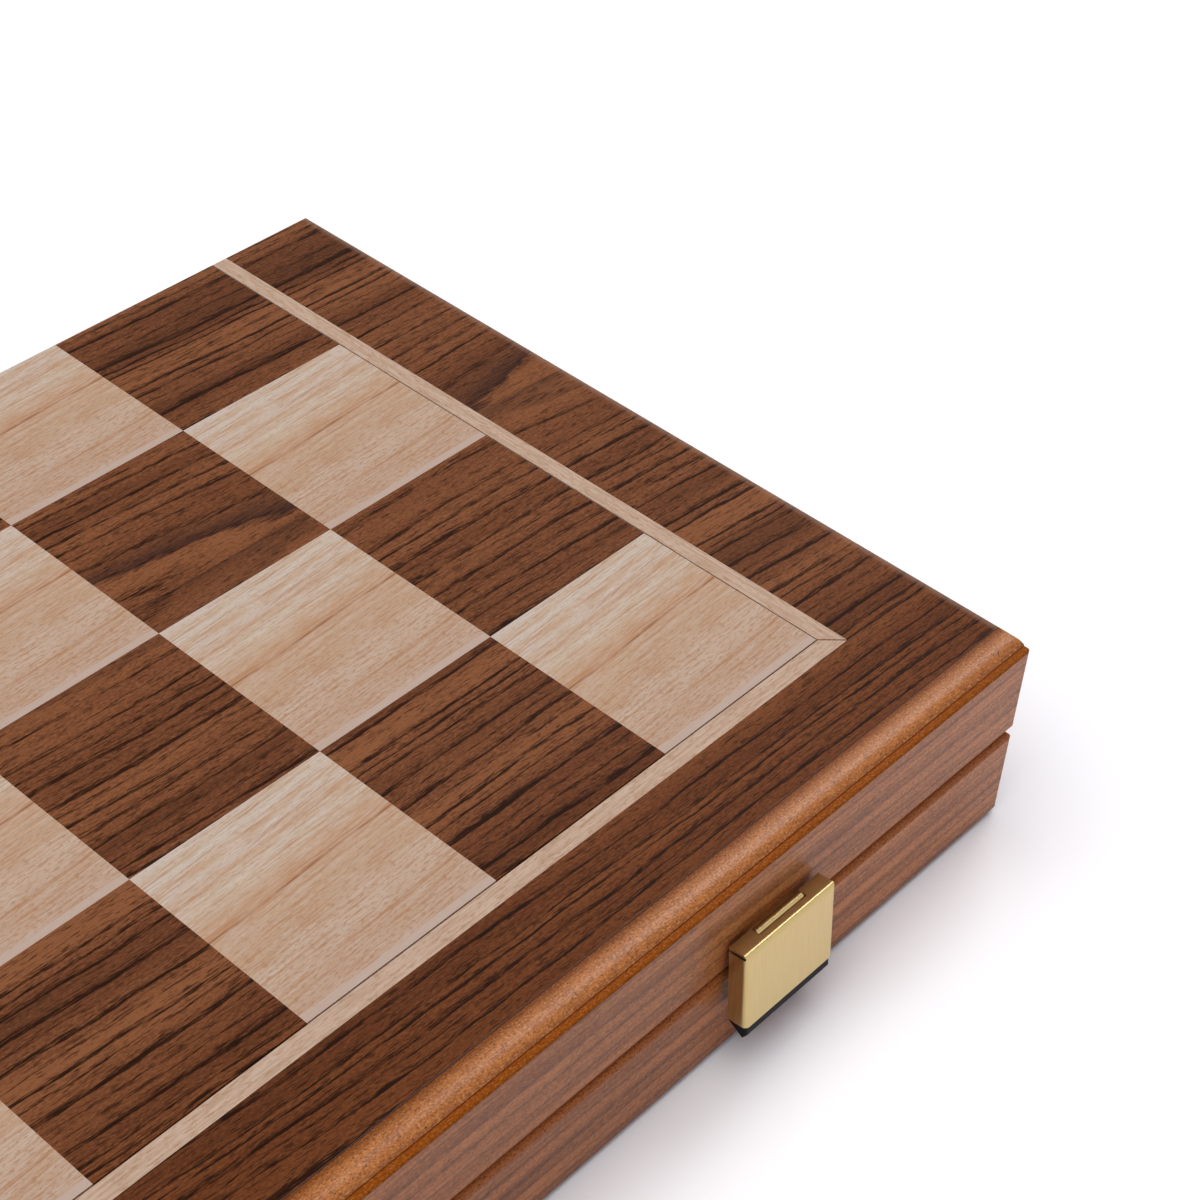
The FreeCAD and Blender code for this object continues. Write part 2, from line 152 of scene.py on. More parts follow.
# Places that the finishes follow
filesOnBoard = 8
ranksOnHalf = 4
squaresLow, squaresHigh = corners("upper_pale_squares")
squareSize = (squaresHigh[0] - squaresLow[0]) / filesOnBoard
foldLine = squaresLow[1] + ranksOnHalf * squareSize  # the row at the hinge would be whole if it reached here
caseEnd = round(cadBounds[1].x / mm, 2)
seamHeight = round(cadBounds[1].z / mm, 2) / 2
veneerFront = corners("upper_border_veneer")[0][1]
wallTop = corners("upper_front_face_veneer")[1][2]
chessLacquer = {"Roughness": 0.34, "Specular_IOR_Level": 0.06}
insideLacquer = {"Roughness": 0.36, "Specular_IOR_Level": 0.2}

# Walnut, cut from one log: growth rings round a heart line, each sharp on one side and fading on the other
walnutFigure = {
    "heartBlur": 3.0,
    "ringSides": [(0.0, 1.0), (0.1, 0.95), (0.24, 0.5), (0.45, 0.2), (0.8, 0.04), (0.92, 0.0), (1.0, 1.0)],
    "strongRings": 1.6, "strongShift": 31.7, "strongSpan": (0.3, 0.58), "strongShare": 0.7,
    "breakSpan": (0.3, 0.6), "breakShare": 0.4, "coreSpan": (13.0, 32.0), "coreShare": 0.45,
    "fibreNoise": (3.0, 0.65), "bandFrom": 0.12, "poreDetail": 1.0, "poreLift": 0.06, "poreSoft": 0.08,
    "toneShare": 0.3, "broadBands": 1.3, "broadShift": 8.3, "broadShare": 0.35,
    "mottleNoise": (3.0, 0.6), "mottleShare": 0.45, "tonePlaces": (0.36, 0.5, 0.64),
    "wispDetail": 3.0, "wispDrift": 2.4, "smokeLead": 0.12, "smokeStreak": 1.2, "smokeBase": 0.95,
    "smokeEdges": [(0.0, 0.0), (0.08, 0.0), (0.14, 1.0), (0.3, 0.75), (0.6, 0.3), (1.0, 0.0)],
    "smokeBehind": 0.6, "smokeShare": 0.95,
}


def walnutColour(add, space, look):
    figure = walnutFigure
    parts = add("SeparateXYZ", space)
    # distance from the heart line, which drifts and swells along the sheet
    slow = add("Math", grain(add, space, look["slowSize"]), noiseMiddle, operation="SUBTRACT")
    quick = add("Math", grain(add, space, look["quickSize"]), noiseMiddle, operation="SUBTRACT")
    drift = add("Math", slow, look["slowDrift"], operation="MULTIPLY")
    drift = add("Math", quick, look["quickDrift"], drift, operation="MULTIPLY_ADD")
    fromHeart = add("Math", parts.outputs["Y"], look["heart"], operation="SUBTRACT")
    fromHeart = add("Math", fromHeart, drift, operation="ADD")
    swell = add("Math", parts.outputs["X"], look["swellAt"], operation="SUBTRACT")
    swell = add("Math", swell, look["swellRun"], operation="DIVIDE")
    swell = add("Math", swell, operation="COSINE")
    rise = add("Math", swell, look["swell"], look["rise"], operation="MULTIPLY_ADD")
    square = add("Math", fromHeart, fromHeart, operation="MULTIPLY")
    square = add("Math", rise, rise, square, operation="MULTIPLY_ADD")
    radius = add("Math", square, operation="SQRT")
    behind = add("MapRange", fromHeart, -figure["heartBlur"], figure["heartBlur"], **soft)
    # rings of uneven width, some strong and some faint, fading in and out along the grain
    shifted = add("Math", uneven(add, radius, look["band"]), look["uneven"], operation="MULTIPLY")
    phase = add("Math", radius, 1 / look["ring"], shifted, operation="MULTIPLY_ADD")
    phase = add("Math", phase, operation="FRACT")
    turned = add("Math", 1.0, phase, operation="SUBTRACT")
    outward = add("ValToRGB", phase, stops=figure["ringSides"])
    inward = add("ValToRGB", turned, stops=figure["ringSides"])
    dense = add("Math", outward, inward, operation="SUBTRACT")
    dense = add("Math", dense, behind, inward, operation="MULTIPLY_ADD")
    strong = uneven(add, radius, look["ring"] * figure["strongRings"], figure["strongShift"])
    strong = add("MapRange", strong, *figure["strongSpan"], **soft)
    broken = add("MapRange", grain(add, space, look["breakSize"]), *figure["breakSpan"], **soft)
    awayFromCore = add("MapRange", radius, *figure["coreSpan"], **soft)
    dense = fade(add, dense, strong, figure["strongShare"])
    dense = fade(add, dense, broken, figure["breakShare"])
    dense = fade(add, dense, awayFromCore, figure["coreShare"])
    # fibres lean with the drift of the grain and make the rings ragged
    leaning = add("CombineXYZ", Y=add("Math", drift, look["lean"], operation="MULTIPLY"))
    fibreSpace = add("VectorMath", space, leaning, operation="ADD")
    fibres = grain(add, fibreSpace, look["fibreSize"], *figure["fibreNoise"])
    fibres = add("Math", fibres, noiseMiddle, operation="SUBTRACT")
    bands = add("Math", fibres, look["ragged"], dense, operation="MULTIPLY_ADD")
    bands = add("MapRange", bands, figure["bandFrom"], look["crisp"], **soft)
    pores = grain(add, fibreSpace, look["poreSize"], figure["poreDetail"])
    pores = add("Math", dense, figure["poreLift"], pores, operation="MULTIPLY_ADD")
    pores = add("MapRange", pores, look["poreFrom"], look["poreFrom"] + figure["poreSoft"], **soft)
    # ground: broad soft bands with a fine mottle
    broad = uneven(add, radius, look["band"] * figure["broadBands"], figure["broadShift"])
    mottle = grain(add, fibreSpace, look["mottleSize"], *figure["mottleNoise"])
    tone = add("Math", grain(add, space, look["toneSize"]), figure["toneShare"], operation="MULTIPLY")
    tone = add("Math", broad, figure["broadShare"], tone, operation="MULTIPLY_ADD")
    tone = add("Math", mottle, figure["mottleShare"], tone, operation="MULTIPLY_ADD")
    tones = (look["deep"], look["middle"], look["light"])
    colour = add("ValToRGB", tone, stops=list(zip(figure["tonePlaces"], tones)))
    if "smoke" in look:
        # the smoky ring at the heart, which shows as arches with one sharp edge, turned over behind the heart
        wisp = grain(add, space, look["smokeSize"], figure["wispDetail"])
        wisp = add("Math", wisp, noiseMiddle, operation="SUBTRACT")
        past = add("Math", radius, look["smoke"], operation="SUBTRACT")
        past = add("Math", wisp, figure["wispDrift"], past, operation="MULTIPLY_ADD")
        side = add("Math", behind, 2.0, -1.0, operation="MULTIPLY_ADD")
        past = add("Math", past, side, operation="MULTIPLY")
        arch = add("Math", past, 1 / look["smokeWidth"], figure["smokeLead"], operation="MULTIPLY_ADD")
        arch = add("ValToRGB", arch, stops=figure["smokeEdges"])
        streaky = add("Math", fibres, figure["smokeStreak"], figure["smokeBase"], operation="MULTIPLY_ADD")
        arch = add("Math", arch, streaky, operation="MULTIPLY")
        arch = fade(add, arch, behind, figure["smokeBehind"])
        colour = stainAndPaintedLight(add, colour, arch, figure["smokeShare"], look["smokeTone"])
    colour = stainAndPaintedLight(add, colour, bands, look["depth"], look["line"])
    colour = stainAndPaintedLight(add, colour, pores, look["poreDepth"], look["pore"])
    return colour, bands, pores


def openPores(add, surface, bands, pores, look):
    # rings and pores lie a little below the lacquered surface
    furrows = add("Math", bands, pores, operation="MAXIMUM")
    bump = add("Bump", Height=furrows, Distance=-look["sink"] * mm, Strength=look["sinkShare"])
    plug(surface["Normal"], bump)


# Chess face: walnut sheet, rubbed down under a thin satin lacquer, so the grain is crisp and the sheen low
topWalnut = {
    "light": "#885636", "middle": "#6c4027", "deep": "#53311c", "line": "#220f05", "pore": "#241006",
    "tilt": 2.0, "heart": 26.0, "rise": 13.4, "swell": 2.6, "swellAt": 147.0, "swellRun": 26.0,
    "ring": 2.5, "band": 8.0, "uneven": 1.9,
    "slowSize": (120, 26, 26), "slowDrift": 5.0, "quickSize": (16, 4, 4), "quickDrift": 1.5, "lean": 0.8,
    "breakSize": (26, 1.6, 1.6), "fibreSize": (4.0, 0.28, 0.28), "ragged": 2.7, "crisp": 0.86, "depth": 0.95,
    "poreSize": (2.6, 0.28, 0.28), "poreFrom": 0.6, "poreDepth": 0.6,
    "toneSize": (120, 9, 9), "mottleSize": (0.9, 0.35, 0.35),
    "smokeTone": "#34201b", "smoke": 15.2, "smokeWidth": 5.0, "smokeSize": (16, 2.0, 2.0),
    "sink": 0.02, "sinkShare": 0.25, "frontShade": "#dfcdb0", "frontShadeReach": 50.0,
    "glue": "#54433f", "glueSpan": (0.2, 0.08),
    "edgeHighlight": "#9b7c68", "edgeHighlightSpan": (2.2, 0.5), "edgeHighlightShare": 0.5,
}
walnut, add, surface = newMaterial("walnut veneer, satin lacquered", **chessLacquer)
colour, bands, pores = walnutColour(add, grainSpace(add, "X", "Y", topWalnut["tilt"]), topWalnut)
place = add("SeparateXYZ", grainSpace(add))
# painted shade: deeper in tone towards the front, where the face catches less sheen, with a grey glue line
# where the sheet stops at the bead
toFront = add("Math", place.outputs["Y"], veneerFront, operation="SUBTRACT")
paintedFrontShade = add("MapRange", toFront, topWalnut["frontShadeReach"], 0.0, **soft)
colour = add("Mix", paintedFrontShade, colour, topWalnut["frontShade"], blend_type="MULTIPLY", **inColour)
atGlue = add("MapRange", toFront, *topWalnut["glueSpan"], **soft)
colour = add("Mix", atGlue, colour, topWalnut["glue"], **inColour)
# painted highlight: paler along the ends, where the rounded edge catches the light
toEnd = add("Math", place.outputs["X"], operation="ABSOLUTE")
toEnd = add("Math", caseEnd, toEnd, operation="SUBTRACT")
paintedEdgeHighlight = add("MapRange", toEnd, *topWalnut["edgeHighlightSpan"], **soft)
colour = stainAndPaintedLight(add, colour, paintedEdgeHighlight, topWalnut["edgeHighlightShare"], topWalnut["edgeHighlight"])
plug(surface["Base Color"], colour)
openPores(add, surface, bands, pores, topWalnut)
dress(walnut, *onHalves("dark_squares", "border_veneer"))
print("walnut chess face done")

# Pale chess squares: maple, all cut from one figure: milky at the hinge edge, a brown vein, then flecked
paleSquare = {
    "bands": [
        (0.0, "#c6baae"), (0.06, "#c0a98f"), (0.1, "#c6b9a8"), (0.15, "#bd9f82"), (0.19, "#c5b5a3"),
        (0.24, "#bd9f83"), (0.3, "#c4b29c"), (0.38, "#bea286"), (0.44, "#b99272"), (0.52, "#bda186"),
        (0.62, "#b8997c"), (0.74, "#bfa790"), (0.88, "#b89a80"), (1.0, "#b99d86"),
    ],
    "rake": 0.05, "wanderSize": (16, 5, 5), "wave": 2.4,
    "streak": {"size": (9, 0.42, 0.42), "noise": (3.0, 0.65), "span": (0.48, 0.72)},
    "streakTone": "#a6754c", "streakShare": 0.75,
    "lineSize": 0.9, "lineShift": 4.2, "lineSpan": (0.5, 0.7), "lineShare": 0.6,
    "lineBreak": {"size": (22, 4, 4), "noise": (2.0, 0.5), "span": (0.38, 0.62)},
    "milk": {"size": (7, 0.45, 0.45), "noise": (3.0, 0.65), "span": (0.46, 0.66)},
    "milkTone": "#cec6be", "milkShare": 0.55, "milkReach": (24.0, 2.0), "milkFade": 0.55,
    "veinTone": "#8a5630", "veinShare": 0.85, "veinAt": 19.0, "veinWave": 1.2, "veinWidth": 0.45,
    "veinBreak": {"size": (7, 3, 3), "noise": (2.0, 0.5), "span": (0.38, 0.62)}, "veinFade": 0.7,
    "fleck": {"size": (1.3, 0.4, 0.4), "noise": (2.0, 0.6), "span": (0.5, 0.66)},
    "fleckTone": "#a07350", "fleckShare": 0.55, "fleckReach": (16.0, 30.0), "fleckFade": 0.5,
    "edgeTone": "#bca99a", "edgeShare": 0.75, "edgeWidth": 1.6, "edgeSoft": 0.15,
}
maple, add, surface = newMaterial("maple veneer, satin lacquered", **chessLacquer)
place = add("SeparateXYZ", grainSpace(add))
alongSquare = add("Math", place.outputs["X"], squaresLow[0], operation="SUBTRACT")
alongSquare = add("Math", alongSquare, squareSize, operation="FLOORED_MODULO")
fromFold = add("Math", foldLine, place.outputs["Y"], operation="SUBTRACT")
fromFold = add("Math", fromFold, squareSize, operation="FLOORED_MODULO")
raked = add("Math", alongSquare, paleSquare["rake"], fromFold, operation="MULTIPLY_ADD")
local = add("CombineXYZ", alongSquare, raked)
wander = add("Math", grain(add, local, paleSquare["wanderSize"]), noiseMiddle, operation="SUBTRACT")
wavy = add("Math", wander, paleSquare["wave"], raked, operation="MULTIPLY_ADD")
colour = add("ValToRGB", add("Math", wavy, squareSize, operation="DIVIDE"), stops=paleSquare["bands"])
streaks = patches(add, local, paleSquare["streak"])
colour = stainAndPaintedLight(add, colour, streaks, paleSquare["streakShare"], paleSquare["streakTone"])
lines = uneven(add, wavy, paleSquare["lineSize"], paleSquare["lineShift"])
lines = add("MapRange", lines, *paleSquare["lineSpan"], **soft)
lines = add("Math", lines, patches(add, local, paleSquare["lineBreak"]), operation="MULTIPLY")
colour = stainAndPaintedLight(add, colour, lines, paleSquare["lineShare"], paleSquare["streakTone"])
nearFold = add("MapRange", fromFold, *paleSquare["milkReach"], **soft)
milk = fade(add, patches(add, local, paleSquare["milk"]), nearFold, paleSquare["milkFade"])
colour = stainAndPaintedLight(add, colour, milk, paleSquare["milkShare"], paleSquare["milkTone"])
fromVein = add("Math", wander, paleSquare["veinWave"], raked, operation="MULTIPLY_ADD")
fromVein = add("Math", fromVein, paleSquare["veinAt"], operation="SUBTRACT")
fromVein = add("Math", fromVein, operation="ABSOLUTE")
offVein = add("MapRange", fromVein, 0.0, paleSquare["veinWidth"], **soft)
vein = add("Math", 1.0, offVein, operation="SUBTRACT")
vein = fade(add, vein, patches(add, local, paleSquare["veinBreak"]), paleSquare["veinFade"])
colour = stainAndPaintedLight(add, colour, vein, paleSquare["veinShare"], paleSquare["veinTone"])
pastFold = add("MapRange", fromFold, *paleSquare["fleckReach"], **soft)
flecks = fade(add, patches(add, local, paleSquare["fleck"]), pastFold, paleSquare["fleckFade"])
colour = stainAndPaintedLight(add, colour, flecks, paleSquare["fleckShare"], paleSquare["fleckTone"])
edgeFrom = squareSize - paleSquare["edgeWidth"]
edgeSpan = (edgeFrom - paleSquare["edgeSoft"], edgeFrom + paleSquare["edgeSoft"])
atEdge = add("MapRange", fromFold, *edgeSpan, **soft)
colour = stainAndPaintedLight(add, colour, atEdge, paleSquare["edgeShare"], paleSquare["edgeTone"])
plug(surface["Base Color"], colour)
dress(maple, *onHalves("pale_squares"))
print("pale squares done")

# Stripe: pale maple cut along the grain, each length with its own direction, fine short fibres
stripeLook = {
    "light": "#c4ab95", "dark": "#b3967d", "tonePlaces": (0.35, 0.6), "broadSize": (9, 0.5, 0.5),
    "fibreTone": "#a07852", "fibreShare": 0.6, "fibreSpan": (0.5, 0.68), "fibreSize": (1.4, 0.28, 0.28),
    "detail": 3.0,
}
stripe, add, surface = newMaterial("maple stripe, satin lacquered", **chessLacquer)
place = add("SeparateXYZ", grainSpace(add))
pastEnd = add("Math", place.outputs["X"], operation="ABSOLUTE")
pastEnd = add("Math", pastEnd, squaresHigh[0], operation="SUBTRACT")
pastFront = add("Math", squaresLow[1], place.outputs["Y"], operation="SUBTRACT")
atSide = add("Math", pastEnd, pastFront, operation="GREATER_THAN")
mitred = {}
for name in ("broadSize", "fibreSize"):
    lengthwise = grain(add, grainSpace(add, "X", "Y"), stripeLook[name], stripeLook["detail"])
    crosswise = grain(add, grainSpace(add, "Y", "X"), stripeLook[name], stripeLook["detail"])
    change = add("Math", crosswise, lengthwise, operation="SUBTRACT")
    mitred[name] = add("Math", change, atSide, lengthwise, operation="MULTIPLY_ADD")
tones = (stripeLook["dark"], stripeLook["light"])
colour = add("ValToRGB", mitred["broadSize"], stops=list(zip(stripeLook["tonePlaces"], tones)))
fibres = add("MapRange", mitred["fibreSize"], *stripeLook["fibreSpan"], **soft)
colour = stainAndPaintedLight(add, colour, fibres, stripeLook["fibreShare"], stripeLook["fibreTone"])
plug(surface["Base Color"], colour)
dress(stripe, *onHalves("stripe"))
print("stripe done")

# Wall veneers: paler walnut with close straight grain, under a slightly glossier lacquer
wallWalnut = {
    "light": "#bb7541", "middle": "#905226", "deep": "#603110", "line": "#4a2817", "pore": "#40200f",
    "tilt": 1.5, "heart": -60.0, "rise": 10.0, "swell": 3.0, "swellAt": 40.0, "swellRun": 60.0,
    "ring": 2.3, "band": 6.0, "uneven": 1.9,
    "slowSize": (120, 20, 20), "slowDrift": 5.0, "quickSize": (22, 4, 4), "quickDrift": 0.6, "lean": 0.8,
    "breakSize": (22, 1.6, 1.6), "fibreSize": (3.0, 0.32, 0.32), "ragged": 2.0, "crisp": 0.95, "depth": 0.48,
    "poreSize": (1.4, 0.28, 0.28), "poreFrom": 0.6, "poreDepth": 0.45,
    "toneSize": (40, 4, 4), "mottleSize": (0.6, 0.35, 0.35), "sink": 0.02, "sinkShare": 0.25,
    "paintedLightLift": 0.2, "paintedLightSpan": (60.0, 190.0), "glue": "#6a5247", "glueSpan": (0.25, 0.05), "glueShare": 0.7,
}
for name, along, pieces in (
    ("walnut wall veneer, lengthwise", "X", ("front_face_veneer", "hinge_face_veneer")),
    ("walnut wall veneer, crosswise", "Y", ("left_face_veneer", "right_face_veneer")),
):
    wall, add, surface = newMaterial(name, Roughness=0.3, Specular_IOR_Level=0.16)
    colour, bands, pores = walnutColour(add, grainSpace(add, along, "Z", wallWalnut["tilt"]), wallWalnut)
    if along == "X":
        # painted light: brighter towards the right end, where more light falls on the wall, and a grey glue
        # line at the bead
        place = add("SeparateXYZ", grainSpace(add))
        toRight = add("MapRange", place.outputs["X"], *wallWalnut["paintedLightSpan"], **soft)
        paintedLight = add("Math", toRight, wallWalnut["paintedLightLift"], 1.0, operation="MULTIPLY_ADD")
        colour = add("HueSaturation", Value=paintedLight, Color=colour)
        fromSeam = add("Math", place.outputs["Z"], seamHeight, operation="SUBTRACT")
        fromSeam = add("Math", fromSeam, operation="ABSOLUTE")
        toEdge = add("Math", wallTop - seamHeight, fromSeam, operation="SUBTRACT")
        atGlue = add("MapRange", toEdge, *wallWalnut["glueSpan"], **soft)
        colour = stainAndPaintedLight(add, colour, atGlue, wallWalnut["glueShare"], wallWalnut["glue"])
    plug(surface["Base Color"], colour)
    openPores(add, surface, bands, pores, wallWalnut)
    dress(wall, *onHalves(*pieces))
print("walls done")

# Rails: fibreboard, stained and clear lacquered, speckled where the cut fibres took the stain
railLook = {
    "light": "#b06a2d", "dark": "#9d5b23", "tonePlaces": (0.36, 0.62),
    "toneSize": (3.5, 0.9, 0.9), "toneNoise": (3.0, 0.65),
    "paintedShade": "#6c3408", "paintedShadeSpan": (-2.3, -0.1), "paintedShadeHeight": (14.0, 16.0), "paintedShadeShare": 0.85,
    "beadWidth": 5.6, "footShadeReach": 1.2, "footShadeShare": 0.6,
    "ledge": "#8a4404", "ledgeSoft": 0.05, "ledgeShare": 0.9,
    "rim": "#a8663c", "rimSpan": (3.0, 2.0), "rimShare": 0.8,
    "gloss": 0.38, "besideVeneerGloss": -0.26, "ledgeGloss": -0.34,
    "speckleSize": (0.5, 0.3, 0.3), "speckleNoise": (2.0, 0.65), "speckleRise": 0.03, "riseShare": 0.35,
    "speck": "#5e2e0c", "speckSpan": (0.5, 0.7), "speckShare": 0.75,
    "glint": "#cf955a", "glintSpan": (0.48, 0.3), "glintShare": 0.6, "besideVeneerGlint": -0.4, "ledgeGlint": -0.3,
    "pit": {"size": (0.55, 0.4, 0.4), "noise": (0.0, 0.5), "span": (0.76, 0.8)},
    "pitTone": "#2e1c12", "pitShare": 0.8,
}
railLacquer = {"Roughness": 0.3, "Specular_IOR_Level": railLook["gloss"]}
board, add, surface = newMaterial("fibreboard, stained and lacquered", **railLacquer)
space = grainSpace(add)
place = add("SeparateXYZ", space)
fromSeam = add("Math", place.outputs["Z"], seamHeight, operation="SUBTRACT")
fromSeam = add("Math", fromSeam, operation="ABSOLUTE")
ground = grain(add, space, railLook["toneSize"], *railLook["toneNoise"])
tones = (railLook["dark"], railLook["light"])
colour = add("ValToRGB", ground, stops=list(zip(railLook["tonePlaces"], tones)))
# painted shade beside the veneer, where the bead dips from the light, and at its foot under the step; the
# ledge and the rims get even tones
shadeFrom, shadeTo = [veneerFront + reach for reach in railLook["paintedShadeSpan"]]
paintedShade = add("MapRange", place.outputs["Y"], shadeFrom, shadeTo, **soft)
paintedShade = add("Math", paintedShade, add("MapRange", fromSeam, *railLook["paintedShadeHeight"], **soft), operation="MULTIPLY")
colour = stainAndPaintedLight(add, colour, paintedShade, railLook["paintedShadeShare"], railLook["paintedShade"])
# painted shade at the foot of the bead, under its step
foot = veneerFront - railLook["beadWidth"]
footShade = add("MapRange", place.outputs["Y"], foot + railLook["footShadeReach"], foot, **soft)
colour = stainAndPaintedLight(add, colour, footShade, railLook["footShadeShare"], railLook["paintedShade"])
# the ledge: darker orange, partly its own stain and partly painted shade under the bead's step
ledgeSpan = (foot + railLook["ledgeSoft"], foot - railLook["ledgeSoft"])
onLedge = add("MapRange", place.outputs["Y"], *ledgeSpan, **soft)
colour = stainAndPaintedLight(add, colour, onLedge, railLook["ledgeShare"], railLook["ledge"])
onRim = add("MapRange", fromSeam, *railLook["rimSpan"], **soft)
colour = stainAndPaintedLight(add, colour, onRim, railLook["rimShare"], railLook["rim"])
# the lacquer is thick on the bead only
gloss = add("Math", paintedShade, railLook["besideVeneerGloss"], railLook["gloss"], operation="MULTIPLY_ADD")
gloss = add("Math", onLedge, railLook["ledgeGloss"], gloss, operation="MULTIPLY_ADD")
plug(surface["Specular IOR Level"], gloss)
# one speckle gives dark specks, pale glints and the roughness to the touch, and a few pits are left open
speckle = grain(add, space, railLook["speckleSize"], *railLook["speckleNoise"])
specks = add("MapRange", speckle, *railLook["speckSpan"], **soft)
colour = stainAndPaintedLight(add, colour, specks, railLook["speckShare"], railLook["speck"])
glintShare = add("Math", paintedShade, railLook["besideVeneerGlint"], railLook["glintShare"], operation="MULTIPLY_ADD")
glintShare = add("Math", onLedge, railLook["ledgeGlint"], glintShare, operation="MULTIPLY_ADD")
glints = add("MapRange", speckle, *railLook["glintSpan"], **soft)
colour = stainAndPaintedLight(add, colour, glints, glintShare, railLook["glint"])
pitShare = add("Math", onLedge, onRim, operation="MAXIMUM")
pitShare = add("Math", railLook["pitShare"], pitShare, operation="SUBTRACT")
colour = stainAndPaintedLight(add, colour, patches(add, space, railLook["pit"]), pitShare, railLook["pitTone"])
plug(surface["Base Color"], colour)
relief = {"Height": speckle, "Distance": railLook["speckleRise"] * mm, "Strength": railLook["riseShare"]}
plug(surface["Normal"], add("Bump", **relief))
dress(board, *onHalves("front_rail", "hinge_rail", "left_rail", "right_rail", "panel_core"))
print("rails done")

# Field: walnut veneer like the chess face, redder and calmer under a fuller satin lacquer
fieldTones = {"light": "#86583c", "middle": "#774a31", "deep": "#653d29"}
fieldWalnut = dict(topWalnut, **fieldTones, tilt=-1.5, heart=-20.0, swellAt=20.0)
field, add, surface = newMaterial("walnut field veneer, satin lacquered", **insideLacquer)
colour = walnutColour(add, grainSpace(add, "X", "Y", fieldWalnut["tilt"]), fieldWalnut)[0]
plug(surface["Base Color"], colour)
dress(field, *onHalves("field_veneer"))

# Linings: the walls' warm, close-grained walnut, its grain turned at the ends to run along each wall
lining, add, surface = newMaterial("walnut lining, satin lacquered", **insideLacquer)
facing = add("SeparateXYZ", add("TexCoord").outputs["Normal"])
acrossEnds = 0.5  # share of the facing that makes a wall an end
lengthwise = walnutColour(add, grainSpace(add, "X", "Z"), wallWalnut)[0]
crosswise = walnutColour(add, grainSpace(add, "Y", "Z"), wallWalnut)[0]
atEnd = add("Math", facing.outputs["X"], operation="ABSOLUTE")
atEnd = add("Math", atEnd, acrossEnds, operation="GREATER_THAN")
plug(surface["Base Color"], add("Mix", atEnd, lengthwise, crosswise, **inColour))
dress(lining, *onHalves("wall_linings"))

# Points: sliced maple, creamy with faint streaks, and sliced wenge, dark brown with nearly black lines
pointLooks = {
    "pale_points": {
        "name": "maple points, satin lacquered",
        "light": "#d0b596", "dark": "#c0a07c", "tonePlaces": (0.35, 0.65),
        "toneSize": (60, 4, 4), "detail": 3.0,
        "streak": {"size": (30, 0.7, 0.7), "noise": (3.0, 0.5), "span": (0.52, 0.74)},
        "streakTone": "#a67f58", "streakShare": 0.5,
    },
    "dark_points": {
        "name": "wenge points, satin lacquered",
        "light": "#4a2f22", "dark": "#2f1d15", "tonePlaces": (0.38, 0.62),
        "toneSize": (80, 2.4, 2.4), "detail": 3.0,
        "streak": {"size": (24, 0.5, 0.5), "noise": (2.0, 0.5), "span": (0.5, 0.7)},
        "streakTone": "#1b100b", "streakShare": 0.7,
    },
}
for piece, look in pointLooks.items():
    sliced, add, surface = newMaterial(look["name"], **insideLacquer)
    space = grainSpace(add)
    tones = (look["dark"], look["light"])
    ground = grain(add, space, look["toneSize"], look["detail"])
    colour = add("ValToRGB", ground, stops=list(zip(look["tonePlaces"], tones)))
    streaks = patches(add, space, look["streak"])
    plug(surface["Base Color"], stainAndPaintedLight(add, colour, streaks, look["streakShare"], look["streakTone"]))
    dress(sliced, *onHalves(piece))
print("inside done")


def hardFinish(look, *pieces):
    # one fine pattern drives the tone, the gloss and any relief of worked metal or moulded plastic
    material, add, surface = newMaterial(look["name"], **look["sockets"])
    pattern = grain(add, grainSpace(add, *look["way"]), look["size"])
    plug(surface["Base Color"], add("ValToRGB", pattern, stops=look["tones"]))
    plug(surface["Roughness"], add("Math", pattern, *look["roughness"], operation="MULTIPLY_ADD"))
    if "rise" in look:
        bump = add("Bump", Height=pattern, Distance=look["rise"] * mm, Strength=look["riseShare"])
        plug(surface["Normal"], bump)
    dress(material, *pieces)


# Clasp brass: sheet brushed from top to bottom, so highlights spread sideways in fine upright lines
# The real lines are finer than the render can show, so they are drawn 0.09 mm apart
claspBrass = {
    "name": "brass sheet, brushed", "sockets": {"Metallic": 1.0}, "way": "ZX", "size": (14, 0.09, 0.6),
    "tones": [(0.35, "#c4ab76"), (0.65, "#ccb581")], "roughness": (0.06, 0.27),
    "rise": 0.005, "riseShare": 0.2,
}
hardFinish(claspBrass, *onSides("clasp_cover", "clasp_plate", "clasp_keeper"))

# Hinge brass and screws: polished, with faint drawing marks along the knuckles
hingeBrass = {
    "name": "brass, polished", "sockets": {"Metallic": 1.0}, "way": "XY", "size": (12, 0.25, 0.25),
    "tones": [(0.3, "#b98f4a"), (0.7, "#d6b068")], "roughness": (0.18, 0.16),
}
hinges = onSides(*onHalves("hinge_leaf"))
hardFinish(hingeBrass, *hinges, *onHalves("hinge_screws"), "clasp_plate_screws", "clasp_keeper_screws")

# Pins: drawn steel wire, grey with lines along its length
pinWire = {
    "name": "steel wire, drawn", "sockets": {"Metallic": 1.0}, "way": "XY", "size": (10, 0.12, 0.12),
    "tones": [(0.3, "#85837f"), (0.7, "#b3b1ac")], "roughness": (0.2, 0.22),
}
hardFinish(pinWire, *onSides("hinge_pin", "clasp_pin"))

# Insert: black moulded plastic, satin from a spark-eroded mould
insertPlastic = {
    "name": "black plastic, moulded", "sockets": {"Specular_IOR_Level": 0.08},
    "way": "XY", "size": (0.18, 0.18, 0.18),
    "tones": [(0.3, "#110f0f"), (0.7, "#1a1717")], "roughness": (0.2, 0.36), "rise": 0.01, "riseShare": 0.3,
}
hardFinish(insertPlastic, *onSides("clasp_insert"))
print("hardware done")

